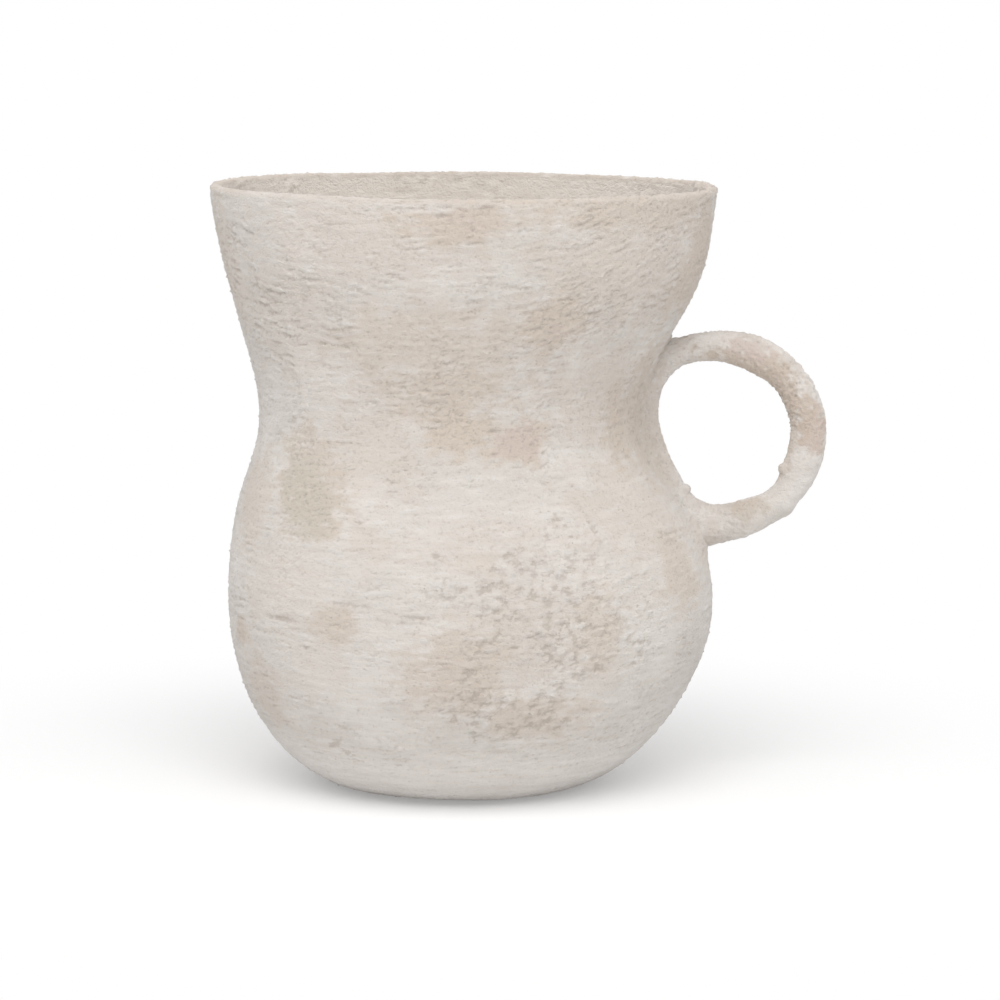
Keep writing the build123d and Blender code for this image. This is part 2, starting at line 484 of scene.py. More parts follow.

# %% [markdown]
# Where the brush ran dry or a cloth took the slip off again, the clay shows through as beige patches. Each
# patch is an oval whose edge is bent by slow noise and frayed by brush strokes, so that it fades out. The
# ones on the front follow the real jug. Those at the back can't be seen in the picture, so chance puts them
# there, in loose clusters of the same sizes. Last, hands wore the lip bare, but less so on its left, and
# that bareness also darkens the lip's lit top as painted shade.

# %% Bare patches
# Angle, height, half width, half height, tilt, how bare (0 to 1) and how warm (-1 olive, 1 pink).
# A few of these patches are painted shade as well as bare clay, as their comments say.
BARE_AND_SHADED_PATCHES = {
    "left of the waist, upper part": (-134, 137, 15, 9, 0, 0.80, -0.4),
    "left of the waist, lower part": (-131, 122, 17, 15, 0, 1.00, -0.8),
    "wide streaks under the flare": (-98, 183, 46, 17, -4, 0.60, 0.0),
    "middle of the waist, upper part": (-91, 166, 26, 13, 0, 0.78, 0.0),
    "middle of the waist, lower part": (-84, 149, 18, 10, -6, 0.95, 0.0),
    "right end of that patch": (-69, 145, 12, 9, 0, 1.00, 0.7),
    "under the lip": (-90, 230, 21, 9, 0, 0.90, 0.5),
    "along the lip, on the right": (-44, 236, 58, 9, 0, 0.80, 0.1),
    "right of the middle, in the flare": (-66, 192, 13, 12, 20, 0.95, 0.5),
    "right half of the neck": (-50, 210, 44, 30, 10, 0.46, 0.1),
    "left of the belly": (-123, 76, 11, 7, 0, 0.75, 0.1),
    "left edge of the belly": (-158, 66, 7, 5, 0, 0.80, 0.2),
    "middle of the belly": (-92, 60, 20, 17, -14, 0.72, 0.3),
    "low on the belly": (-73, 41, 22, 9, -4, 0.72, 0.1),
    "right of the belly": (-59, 74, 10, 15, 0, 0.72, -0.2),
    # Bare clay, and painted shade along the belly's right edge.
    "far right of the belly": (-29, 94, 13, 16, 0, 0.75, -0.3),
    "speckled part of the belly": (-76, 72, 34, 24, 0, 0.35, 0.0),
    "streaks left of the belly": (-140, 90, 26, 16, 0, 0.30, -0.2),
    "streaks left of the neck": (-136, 190, 30, 26, -8, 0.32, -0.2),
    "left edge of the neck": (-163, 208, 16, 26, 0, 0.45, -0.1),
    "left edge of the belly, higher": (-158, 116, 14, 20, 0, 0.50, -0.2),
    "lower left of the belly": (-150, 44, 12, 14, 0, 0.50, 0.0),
    "speckles left of the belly": (-128, 56, 14, 12, 0, 0.25, 0.0),
    # The next four are bare clay and painted shade: on the neck's right edge, and where shade falls beside
    # the handle at the waist.
    "right edge of the neck": (-18, 212, 20, 24, 0, 0.85, 0.2),
    "beside the handle, at the waist": (-19, 152, 14, 30, 0, 0.85, 0.0),
    "against the handle": (-7, 148, 10, 34, 0, 0.68, 0.0),
    "dark band right of the waist": (-32, 150, 10, 17, 0, 1.00, -0.5),
    "right of the waist": (-38, 162, 34, 24, 0, 0.42, 0.2),
    "below the handle": (-6, 100, 14, 12, 0, 0.45, 0.1),
    "streaks right of the belly": (-36, 118, 34, 24, 0, 0.40, 0.1),
    "streaks across the shoulder": (-84, 107, 36, 13, 0, 0.26, 0.0),
    "small patch above the speckles": (-86, 102, 7, 7, 0, 0.50, 0.0),
    "beside the left waist patch": (-113, 109, 10, 12, 0, 0.36, 0.1),
    "between the two waist patches": (-112, 143, 20, 24, 0, 0.36, 0.1),
    "high on the left of the neck": (-112, 224, 42, 18, -6, 0.36, 0.1),
}
# The same sizes for the patches inside the mouth.
MOUTH_PATCHES = {
    "back of the mouth": (98, 232, 40, 7, 0, 0.35, 0.1),
    "left of the mouth": (168, 236, 14, 4, 0, 0.40, 0.3),
    "right of the mouth, low": (30, 205, 30, 14, 0, 0.60, 0.0),
    "front of the mouth, low": (-100, 200, 36, 12, 0, 0.60, 0.2),
    "left of the mouth, low": (150, 180, 26, 12, 0, 0.60, -0.2),
}
MOUTH_BARENESS = 0.4
print(f"{len(BARE_AND_SHADED_PATCHES)} patches outside and {len(MOUTH_PATCHES)} inside the mouth")

# %% [markdown]
# Each row of those tables now becomes a soft oval on the grid. The patches of a table share one slow bend,
# and one pattern of strokes and lumps frays them, as if one brush had gone over them all. Where two of them
# overlap, the barer one shows. They could be painted on by hand, but rows can be moved and tried again.

# %% Patches on the grid
PATCH_EDGE = (-0.55, 0.50)
OUTSIDE_ALL = -2.0
BACK_CLUSTERS = 8
BACK_FROM = 20
BACK_ARC = 140


def lay_patches(patches, inside, bare, warm):
    """Adds each patch, with a soft and frayed edge, to the fields of bareness and warmth."""
    bend = 0.20 * coat_marks.swell(9.0)
    fray = 0.12 * coat_marks.strokes(4.5, 11.0) + 0.07 * coat_marks.lumps(4.0)
    for *sizes, strength, warmth in patches:
        depth = np.where(INSIDE[:, None] == inside, oval(*sizes, inside), OUTSIDE_ALL)
        here = smooth(depth + bend + fray, *PATCH_EDGE)
        bare = np.maximum(bare, strength * here)
        warm = warm * (1 - here) + warmth * here
    return bare, warm


def chance_patches(marks, clusters):
    """Patches in loose clusters for the back of the jug, which the picture doesn't show."""
    pick = marks.random.uniform
    patches = []
    for number in range(clusters):
        angle = BACK_FROM + BACK_ARC * (number + 0.5) / clusters
        height, warmth = pick(30, 225), pick(-0.7, 0.6)
        patches.append((angle, height, pick(30, 46), pick(12, 22), pick(-6, 6), pick(0.35, 0.5), warmth))
        for _ in range(2):
            patches.append((angle + pick(-14, 14), height + pick(-10, 10), pick(10, 22), pick(7, 12),
                            pick(-8, 8), pick(0.65, 0.9), warmth + pick(-0.3, 0.3)))
    return patches


bare = np.clip(0.05 * coat_marks.swell(22.0) + 0.06 * coat_marks.strokes(5.0, 24.0), 0, None)
warm = 0.25 * coat_marks.swell(30.0)
bare, warm = lay_patches(BARE_AND_SHADED_PATCHES.values(), False, bare, warm)
bare, warm = lay_patches(chance_patches(coat_marks, BACK_CLUSTERS), False, bare, warm)
bare, warm = lay_patches(MOUTH_PATCHES.values(), True, bare, warm)
bare = np.where(INSIDE[:, None], MOUTH_BARENESS * bare, bare)

# The lip, worn bare by hands and darkened as painted shade on its lit top, and the oval on its left where
# half of the slip stayed.
LIP_WORN_AND_SHADED = 0.78
LIP_WORN_AND_SHADED_FROM, LIP_WORN_AND_SHADED_TO = 3.0, 0.6
SLIP_STAYED = 0.5
SLIP_STAYED_AT = (-128, 238, 60, 14)
on_lip = smooth(LEVEL, HEIGHT - LIP_WORN_AND_SHADED_FROM, HEIGHT - LIP_WORN_AND_SHADED_TO)[:, None]
stayed = SLIP_STAYED * smooth(oval(*SLIP_STAYED_AT), -0.2, 0.6)
uneven = np.clip(0.9 + 0.2 * coat_marks.swell(6.0), 0, 1)
bare = np.maximum(bare, LIP_WORN_AND_SHADED * on_lip * (1 - stayed) * uneven)
WORN_THIN = 0.4
print(f"{(bare > WORN_THIN).mean():.0%} of the coat is worn thin")

# %% [markdown]
# The relief of the coat is real geometry, because it shows in the outline and throws true shade, which a
# bump in the finish wouldn't. Its first layer is what the brush left. The ridges run nearly level on the
# belly and the waist, fall to the right on the left of the neck and rise to the right beyond its middle,
# where the brush swept up to the lip. Where two directions meet, both show in part.

# %% Brush ridges
RIDGE_RELIEF = 0.068
BROAD_RELIEF = 0.054
LEVEL_SLANT = 1.2
LEVEL_AT_LEAST = 0.15
# Angle, height, half width and half height of a sweep of the brush, then its slant and how bold it is.
SWEEPS = {
    "falls on the left of the neck": (-135, 205, 52, 34, -9.0, 2.3),
    "rises on the right of the neck": (-48, 214, 40, 30, 21.0, 1.3),
    "falls over the back": (60, 190, 60, 50, -6.0, 1.0),
}


def slanted(where, slant, bold=1.0):
    """Brush ridges at a slant, long and short, with how much of them shows at each point."""
    fine = 0.90 * coat_marks.strokes(2.0, 2.5, slant) + 0.55 * coat_marks.strokes(2.2, 12.0, slant)
    broad = coat_marks.strokes(4.2, 12.0, slant)
    heavy = np.clip(1 + 0.45 * coat_marks.swell(12.0), 0.3, None)
    return where, heavy * (RIDGE_RELIEF * fine + bold * BROAD_RELIEF * broad)


def brushed_relief():
    """Ridges in their directions, laid over each other where brush strokes met."""
    patchy = 0.5 * coat_marks.swell(18.0)
    shares = [smooth(oval(*sweep[:4]) + patchy, 0.0, 0.5) for sweep in SWEEPS.values()]
    level = 1.0
    for share in shares:
        level = level - share
    layers = [slanted(np.clip(level, LEVEL_AT_LEAST, 1), LEVEL_SLANT)]
    layers += [slanted(share, *sweep[4:]) for share, sweep in zip(shares, SWEEPS.values())]
    total = sum(share**2 for share, _ in layers) ** 0.5
    return sum(share * ridges for share, ridges in layers) / total


print(f"Ridges nearly level on the body, and in {len(SWEEPS)} sweeps at a slant")

# %% [markdown]
# The second layer is slip that was dabbed on instead of brushed. It left lumps with no direction, most of
# them on the belly and on the right of the neck, and a thin crust of them lies nearly everywhere. Low on the
# belly they are lower. Real lumps are sharper on top than in the hollows between them. Adding a share of the
# pattern's own square gives them that.

# %% Dabbed slip
LUMP_RELIEF = 0.205
# Angle, height, half width and half height of each area.
DABBED_HIGH = (-70, 82, 40, 34)
DABBED_LOW = (-84, 46, 32, 18)
DABBED_BEHIND = (100, 90, 46, 30)
LUMPY_NECK = (-52, 196, 46, 46)
# The lumps get lower between these two heights.
LOW_FROM, LOW_TO = 26, 12
# How lumpy each kind of place is.
WHERE_DABBED = 1.40
ON_THE_NECK = 0.70
WHERE_BARE = 0.85
CRUST_LEAST, CRUST_MORE = 0.26, 0.58
SHARPER_TOPS = 0.30
BIG_LUMPS = 0.70


def with_bent_edge(depth, full):
    """The share of an area at each point, from how deep it lies there: its edge is bent by slow noise."""
    return smooth(depth + 0.3 * coat_marks.swell(14.0), 0.0, full)


dabbed = with_bent_edge(np.maximum(oval(*DABBED_HIGH), oval(*DABBED_LOW)), 0.45)
dabbed = np.maximum(dabbed, with_bent_edge(oval(*DABBED_BEHIND), 0.45))
neck_lumps = ON_THE_NECK * with_bent_edge(oval(*LUMPY_NECK), 0.5)
low_belly = smooth(-LEVEL, -LOW_FROM, -LOW_TO)[:, None] * ~INSIDE[:, None]
crust = smooth(coat_marks.swell(16.0) + 0.6 * coat_marks.swell(7.0), -0.6, 1.5)
thin_crust = CRUST_LEAST + CRUST_MORE * crust
lumpy = np.maximum.reduce([WHERE_DABBED * dabbed, neck_lumps, WHERE_BARE * bare, thin_crust])
lumpy *= 1 - 0.6 * low_belly
lumps = 0.55 * coat_marks.lumps(4.6) + 0.55 * coat_marks.lumps(2.4) + 0.35 * coat_marks.strokes(2.2, 2.5)
lumps += SHARPER_TOPS * (lumps**2 - 1)
lumps += BIG_LUMPS * dabbed * coat_marks.lumps(7.5)
print(f"{dabbed.mean():.0%} of the slip is dabbed on")

# %% [markdown]
# Ridges and lumps together are the fine relief. No hand works evenly, so it is made stronger or calmer place
# by place, as on the real jug. Then come the single marks: crumbs that stand out, pits, and short drag marks
# of coarse sand. The inside of the mouth is calmer and has fewer of them, but a lumpy crust of its own.

# %% Fine relief
MOUTH_CALM = 0.30
CRUMB_HEIGHT = 0.50
PIT_DEPTH = 0.45
DRAG_DEPTH = 0.30
DRAG_SIZE = 0.55
DRAG_STRETCH = 2.6
FEWER_INSIDE = 0.4
MOUTH_CRUST = 0.16
# Angle, height, half width, half height, and how strong the relief is there.
COARSE_AND_CALM = {
    "left of the waist": (-150, 166, 26, 26, 1.20),
    "left of the neck": (-142, 208, 40, 24, 1.30),
    "right of the belly": (-33, 58, 26, 32, 1.12),
    "right patch of the belly": (-56, 74, 16, 20, 0.85),
    "beyond that patch": (-39, 76, 14, 16, 0.62),
    "low on the left": (-140, 30, 30, 12, 1.30),
    "low on the right": (-50, 26, 26, 12, 1.40),
    "middle of the shoulder": (-92, 108, 50, 18, 0.88),
    "smooth place left of the belly": (-122, 44, 20, 14, 0.70),
    "middle of the waist": (-88, 160, 34, 22, 1.25),
    "right of the middle, in the flare": (-62, 192, 18, 16, 1.25),
    "right half of the neck": (-48, 210, 44, 26, 1.30),
    "left waist patch": (-132, 128, 18, 20, 1.15),
}

fine_relief = brushed_relief() * (1 - 0.35 * dabbed) * (1 - 0.3 * low_belly) + LUMP_RELIEF * lumpy * lumps
for *sizes, strength in COARSE_AND_CALM.values():
    here = smooth(oval(*sizes) + 0.2 * coat_marks.swell(12.0), -0.3, 0.5)
    fine_relief *= 1 + (strength - 1) * here
fine_relief *= np.where(INSIDE, MOUTH_CALM, 1.0)[:, None]

crumbs = coat_marks.dots(420, 0.9, 0.2 + dabbed + neck_lumps + bare)
pits = coat_marks.dots(260, 0.8, 0.3 + 0.5 * dabbed + bare)
coarse_sand = 0.4 + crust
drags = coat_marks.dots(1500, DRAG_SIZE, coarse_sand, DRAG_STRETCH)
drags = drags - coat_marks.dots(1200, DRAG_SIZE, coarse_sand, DRAG_STRETCH)
single_marks = CRUMB_HEIGHT * crumbs - PIT_DEPTH * pits - DRAG_DEPTH * drags
fine_relief += single_marks * np.where(INSIDE, FEWER_INSIDE, 1.0)[:, None]
mouth_lumps = coat_marks.lumps(6.5) * smooth(coat_marks.swell(12.0), -0.7, 1.0)
mouth_crust = MOUTH_CRUST * (mouth_lumps + 0.35 * coat_marks.lumps(2.6))
fine_relief += np.where(INSIDE[:, None], mouth_crust, 0.0)
print(f"Fine relief spreads {fine_relief.std():.3f} mm about its mean")

# %% [markdown]
# A few marks tell this jug from any other: scratches round the belly, a scar low on its left, nicks beside
# the handle, and on the right a hollow where something pressed into the wet clay. Each is an oval cut into
# the relief, or pushed up where its depth is negative. Under all that, the pot itself swells and sinks a
# little. The whole is then held back, so that no mark goes through the coat.

# %% Scratches, the scar and the pressed hollow
# Angle, height, half length, half width, tilt and depth.
SCRATCHES = {
    "left scratch round the belly": (-139, 75.5, 11.0, 1.2, 0, 0.60),
    "middle scratch round the belly": (-118, 84, 14.0, 1.0, -1, 0.50),
    "right scratch round the belly": (-101, 80.5, 8.0, 1.0, 1, 0.50),
    "scratch in the neck": (-78, 206, 10.0, 1.1, -4, 0.35),
    "first stroke of the scar": (-127, 27, 5.5, 1.7, 35, 0.60),
    "second stroke of the scar": (-124, 24, 4.5, 1.5, -30, 0.60),
    "clay pushed up beside the scar": (-127, 33, 5.0, 1.5, 25, -0.45),
    "stroke over the scar": (-122, 35, 4.5, 1.3, -15, 0.50),
    "light slash in the warm patch": (-62, 189, 8.0, 1.3, 28, -0.50),
    "dark nick in the flare": (-45, 189, 3.0, 1.4, 60, 0.50),
    "first nick beside the handle": (-13, 169, 1.8, 1.3, 70, 0.60),
    "second nick beside the handle": (-15, 157, 2.0, 1.5, 80, 0.60),
    "third nick beside the handle": (-16, 147, 1.6, 1.2, 60, 0.60),
    "fourth nick beside the handle": (-16, 139, 2.2, 1.5, -60, 0.60),
    "fifth nick beside the handle": (-14, 131, 1.8, 1.2, -50, 0.60),
}
SLOW_RELIEF = 0.12
BARE_DEPTH = 0.14
MEAN_DEPTH = 0.12
DEEPEST = 0.62
DEEPEST_INSIDE = 0.35
HOLLOW = (-39, 55, 12, 11)
HOLLOW_DEPTH = 0.9
HOLLOW_SMOOTHED = 0.7
# The finish follows the ridges, and paints shade into their hollows: no stronger than this many spreads, and
# less inside the mouth.
RIDGE_LIMIT = 3
RIDGE_INSIDE = 0.55
# Angle, height, half width, half height and depth of the slow dents in the pot's outline.
DENTS = {
    "left of the waist": (180, 134, 60, 22, 0.45),
    "under the handle": (0, 80, 50, 20, 0.40),
    "right of the lip": (0, 229, 50, 14, 0.40),
}

for *sizes, depth in SCRATCHES.values():
    fine_relief -= depth * smooth(oval(*sizes), -0.3, 0.8)
pressed = smooth(oval(*HOLLOW), 0.0, 0.9)
fine_relief *= 1 - HOLLOW_SMOOTHED * pressed

slow_relief = SLOW_RELIEF * coat_marks.swell(45.0) - HOLLOW_DEPTH * pressed - MEAN_DEPTH
for *sizes, depth in DENTS.values():
    slow_relief -= depth * smooth(oval(*sizes), 0.0, 0.8)
relief = slow_relief + fine_relief - BARE_DEPTH * bare
relief = np.maximum(relief, np.where(INSIDE, -DEEPEST_INSIDE, -DEEPEST)[:, None])
ridge = np.clip(fine_relief / fine_relief.std(), -RIDGE_LIMIT, RIDGE_LIMIT)
ridge = ridge * np.where(INSIDE, RIDGE_INSIDE, 1.0)[:, None]
print(f"The coat's face lies from {relief.min():.2f} to {relief.max():.2f} mm off the drawn wall")

# %% [markdown]
# No hand-made lip is level. This one has settled by about a millimetre on the handle's side, at the front
# and at the back, and stands at its full height only opposite the handle. The clay and the coat go through
# one function for that, so that they stay together.

# %% The hand-made shape
LIP_SETTLED = 0.8
LIP_TILT = 0.7
LIP_SADDLE = 0.2
LIP_WAVE = 0.1
LIP_MOVES_BELOW = 70


def hand_made(places):
    """Moves places near the lip, in millimetres, as the potter's hands did: lower at the handle's side."""
    turn = np.arctan2(places[..., 1], places[..., 0])
    share = smooth(places[..., 2], HEIGHT - LIP_MOVES_BELOW, HEIGHT)
    lift = -LIP_SETTLED - LIP_TILT * np.cos(turn) + LIP_SADDLE * np.cos(2 * turn)
    lift += LIP_WAVE * np.sin(5 * turn)
    moved = places.copy()
    moved[..., 2] += share * lift
    return moved


lip_circle = np.stack([np.cos(ANGLE), np.sin(ANGLE), np.full(COLUMNS, HEIGHT)], axis=-1)
moved_by = hand_made(lip_circle)[:, 2] - HEIGHT
print(f"The lip lies {moved_by.min():.1f} to {moved_by.max():.1f} mm off its drawn height")

# %% [markdown]
# Turning rows of places into a mesh takes one helper for every piece of this jug. It joins each point to its
# neighbours round and along, closes the mesh on itself, stores values such as how bare each point is for
# the finishes to read, and lays the grid out flat as a texture map.

# %% From rows of places to a mesh
def make_skin(name, places, values, poles=False):
    """A closed mesh through places[row, column] in mm. With poles, both end rows close to a point."""
    rows, columns = places.shape[:2]
    last = rows - 1 if poles else rows
    row, column = np.meshgrid(np.arange(last), np.arange(columns), indexing="ij")
    corners = [(row, column), (row, column + 1), (row + 1, column + 1), (row + 1, column)]
    faces = np.stack([(r % rows) * columns + c % columns for r, c in corners], axis=-1).reshape(-1, 4)
    flat = np.stack([np.stack([c / columns, r / last], axis=-1) for r, c in corners], axis=-2).reshape(-1, 2)
    faces, points = faces.tolist(), places.reshape(-1, 3)
    if poles:
        start = len(points)
        points = np.concatenate([points, places[0].mean(axis=0)[None], places[-1].mean(axis=0)[None]])
        top = (rows - 1) * columns
        for c in range(columns):
            after = (c + 1) % columns
            faces.append([start, after, c])
            faces.append([start + 1, top + c, top + after])
            flat = np.concatenate([flat, [[0.5, 0], [(c + 1) / columns, 0], [c / columns, 0]]])
            flat = np.concatenate([flat, [[0.5, 1], [c / columns, 1], [(c + 1) / columns, 1]]])
    mesh = bpy.data.meshes.new(name)
    mesh.from_pydata((points * MM).tolist(), [], faces)
    mesh.uv_layers.new(name="OFBake").data.foreach_set("uv", flat.astype(np.float32).ravel())
    for value_name, field in values.items():
        stored = mesh.attributes.new(value_name, "FLOAT", "POINT").data
        filled = np.concatenate([np.ravel(field), np.zeros(len(points) - np.size(field))])
        stored.foreach_set("value", filled.astype(np.float32))
    mesh.shade_smooth()
    mesh.validate()
    print(f"{name}: {len(points)} points, {len(mesh.polygons)} faces")
    return in_scene(name, mesh)


def stand_for(piece, slot, *nodes):
    """The piece rides on the jug and replaces CAD nodes. Its slot is not used."""
    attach(piece, "root")
    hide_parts(*nodes)


# %% [markdown]
# The ring handle's line comes next, because the coat has to rise to meet it. The sizes of the free round can
# be read off the CAD node's box. On the jug's side the coil is flattened along the waist: a smaller round, a
# straight run, and another small round back to the top.

# %% The ring handle's line
ring_low, ring_high = size_of("ring_handle")
COIL = (ring_high[1] - ring_low[1]) / 2
RING_RADIUS = (ring_high[2] - ring_low[2]) / 2 - COIL
RING_HEIGHT = (ring_high[2] + ring_low[2]) / 2
RING_X = ring_high[0] - COIL - RING_RADIUS
WAIST_RUN_X = 81.0
WAIST_RUN_Z = 120.0
WAIST_RUN = 25.5
COIL_STEPS = 480
ARC_POINTS = 60


def arc(centre, start_angle, end_angle, radius):
    """Points along a round, as x and z, with angles in degrees."""
    turn = np.radians(np.linspace(start_angle, end_angle, ARC_POINTS))
    return np.stack([centre[0] + radius * np.cos(turn), centre[1] + radius * np.sin(turn)], axis=1)


def coil_line():
    """The closed centreline of the coil as even points x, z: round from its top, outwards and down."""
    bottom = RING_HEIGHT - RING_RADIUS
    top = RING_HEIGHT + RING_RADIUS
    across, up = RING_X - WAIST_RUN_X, WAIST_RUN_Z - bottom
    lower = (across**2 + up**2) / (2 * up)
    turned = 2 * math.degrees(math.atan2(up, across))
    heading = math.radians(180 - turned)
    end_x = WAIST_RUN_X + WAIST_RUN * math.cos(heading)
    end_z = WAIST_RUN_Z + WAIST_RUN * math.sin(heading)
    upper = (top - end_z) / (1 - math.cos(heading))
    upper_centre = (end_x + upper * math.sin(heading), top - upper)
    parts = [
        arc((RING_X, RING_HEIGHT), 90, -90, RING_RADIUS),
        arc((RING_X, bottom + lower), -90, -90 - turned, lower),
        arc(upper_centre, math.degrees(heading) + 90, 90, upper),
    ]
    points = np.concatenate(parts + [parts[0][:1]])
    along = distance_along(*points.T)
    even = np.linspace(0, along[-1], COIL_STEPS, endpoint=False)
    return np.stack([np.interp(even, along, column) for column in points.T], axis=1), along[-1]


coil_points, COIL_LENGTH = coil_line()
print(f"Coil {2 * COIL:.1f} mm thick, {COIL_LENGTH:.1f} mm long, in a ring of {2 * RING_RADIUS:.1f} mm")

# %% [markdown]
# Where the coil was pressed on, wet clay and slip filled the corner. Two surfaces that meet in such a soft
# corner can be worked out with one short formula: each rises towards the other by a share of how near they
# are, and both end up on the same rounded face. Most clay was pushed in under the ring, to carry it, and
# least over it, so the reach of the formula goes by height.

# %% The soft corner between wall and coil
# Height, and how far the clay in the corner reaches there.
CORNER_REACH = {101.0: 12.0, 112.0: 8.0, 165.0: 8.0, 176.0: 4.5}
WIDEST_CORNER = max(CORNER_REACH.values())
# What a place that isn't near the handle gets as its distance, and where the handle's side begins.
FAR_AWAY = 99.0
HANDLE_SIDE = 40.0


def soft_rise(gap, height):
    """How far a surface rises where another comes near it at a height."""
    reach = np.interp(height, list(CORNER_REACH), list(CORNER_REACH.values()))
    return np.clip(reach - np.maximum(gap, 0), 0, None) ** 2 / (4 * reach)


def gap_to_coil(places):
    """Distance from each place to the coil's surface. Only places near the handle are worked out."""
    gap = np.full(places.shape[:-1], FAR_AWAY)
    near = (places[..., 0] > HANDLE_SIDE) & (np.abs(places[..., 1]) < COIL + WIDEST_CORNER)
    near &= (places[..., 2] > ring_low[2] - WIDEST_CORNER) & (places[..., 2] < ring_high[2] + WIDEST_CORNER)
    chosen = places[near]
    across = chosen[:, None, [0, 2]] - coil_points[None, ::2]
    flat = np.hypot(across[..., 0], across[..., 1]).min(axis=1)
    gap[near] = np.hypot(flat, chosen[:, 1]) - COIL
    return gap


print(f"The corner clay reaches up to {WIDEST_CORNER:.0f} mm from where coil and wall meet")

# %% [markdown]
# The coat's mesh follows the grid up the outside, over the lip and down the mouth, with its relief along the
# wall's own normal. A real coat has a thickness, so the mesh goes back behind, in the clay, and closes. That
# hidden back has fewer rows, but enough to follow the drawn-in waist, or its long faces would cut through
# there and show. The coat's inner end was brushed by feel: it wanders up and down and thins out to nothing.

# %% Piece: the rough coat
COAT_THICKNESS = 0.7
THINNEST = 0.05
BACK_ROWS = 96
END_WANDER = 2.5
END_FRINGE = 0.8
END_TAPER = 6.0
END_THICKNESS = 0.06
FOOT_TAPER = 0.3
FOOT_TAPER_REACH = 3.0
SUNK_UNDER_COAT = 0.25


def wall_places(radius, lean, height, angle):
    """Places on the wall from its circles. radius, lean and height may differ from column to column."""
    return np.stack([lean + radius * np.cos(angle), radius * np.sin(angle), height + 0 * angle], axis=-1)


def line_normals(radius, height):
    """Outward direction of a line of the section, as its radial and its upward part."""
    along_radius, along_height = np.gradient(radius), np.gradient(height)
    length = np.hypot(along_radius, along_height)
    return along_height / length, -along_radius / length


def make_rough_coat():
    """The whole coat as one closed skin."""
    out, up = line_normals(RADIUS, LEVEL)
    height = np.repeat(LEVEL[:, None], COLUMNS, axis=1)
    wander = END_WANDER * coat_marks.swell(30.0)[-1] + END_FRINGE * coat_marks.lumps(5.0)[-1]
    reach_down = smooth(-LEVEL, -BELOW_LIP, -COAT_END) * INSIDE
    height = height + reach_down[:, None] * wander[None, :]
    radius = np.repeat(RADIUS[:, None], COLUMNS, axis=1)
    lean = np.repeat(LEAN[:, None], COLUMNS, axis=1)
    mouth_heights = LEVEL[INSIDE][::-1]
    radius[INSIDE] = np.interp(height[INSIDE], mouth_heights, RADIUS[INSIDE][::-1])
    lean[INSIDE] = np.interp(height[INSIDE], mouth_heights, LEAN[INSIDE][::-1])
    taper = (COAT_THICKNESS - END_THICKNESS) * smooth(ALONG, ALONG[-1] - END_TAPER, ALONG[-1])
    taper += FOOT_TAPER * smooth(-ALONG, -FOOT_TAPER_REACH, 0.0)
    face = wall_places(radius, lean, height, ANGLE[None, :])
    rise = soft_rise(gap_to_coil(face), height)
    lift = np.maximum(relief, -COAT_THICKNESS + THINNEST) - taper[:, None] + rise
    outwards = [out[:, None] * np.cos(ANGLE), out[:, None] * np.sin(ANGLE), up[:, None] + 0 * ANGLE]
    offset = np.stack(outwards, axis=-1)
    face = face + lift[..., None] * offset
    pick = np.linspace(ROWS - 1, 0, BACK_ROWS).round().astype(int)
    back = wall_places(radius[pick], lean[pick], height[pick], ANGLE[None, :])
    back = back - (COAT_THICKNESS + SUNK_UNDER_COAT) * offset[pick]
    places = hand_made(np.concatenate([face, back]))
    hidden = np.zeros((BACK_ROWS, COLUMNS))
    # Marks the inside of the mouth, where the finish paints the slip lighter against its shade.
    in_mouth = smooth(ALONG - ALONG[LIP_ROW], 1.0, 4.0)[:, None] + 0 * bare
    fields = {"bare": bare, "ridge": ridge, "warm": warm, "white": white, "in_mouth": in_mouth}
    values = {name: np.concatenate([field, hidden]) for name, field in fields.items()}
    return make_skin("rough_coat_skin", places, values)


rough_coat = make_rough_coat()
stand_for(rough_coat, "mineral_coat", "rough_coat")

# %% [markdown]
# The clay pot shows in three places: below the coat inside, on the floor, and under the foot. It was thrown
# on a wheel, so its inner wall keeps a spiral of finger ridges that closes in on the middle of the floor,
# and the foot was cut off with a wire. The outer face lies hidden behind the coat.

# %% Piece: the clay pot
POT_COLUMNS = 220
POT_STEP = 1.1
FINGER_PITCH = 8.5
FINGER_DEPTH = 0.28
FOOT_ROUND = 0.4
UNDER_COAT_LIP = 0.1


def pot_section():
    """Radius, lean and height from the floor's middle up inside, over the lip and down to the foot's middle.

    The second thing it gives is how many of those steps lie inside.
    """
    inner, outer = even_points(hollow_line, POT_STEP), even_points(clay_outer_line, POT_STEP)[::-1]
    floor_radii = np.arange(1.0, inner[0, 0], POT_STEP)
    floor_part = np.stack([floor_radii, 0 * floor_radii, 0 * floor_radii + FLOOR_THICKNESS], axis=1)
    rim_radii = np.linspace(inner[-1, 0] + 1.0, outer[0, 0] - 1.0, 4)
    rim_height = HEIGHT - COAT_THICKNESS - UNDER_COAT_LIP
    rim = np.stack([rim_radii, 0 * rim_radii + inner[-1, 1], 0 * rim_radii + rim_height], axis=1)
    foot_radii = np.arange(outer[-1, 0] - FOOT_ROUND, 1.0, -POT_STEP)
    foot = np.stack([foot_radii, 0 * foot_radii, 0 * foot_radii], axis=1)
    return np.concatenate([floor_part, inner, rim, outer, foot]), len(floor_part) + len(inner)


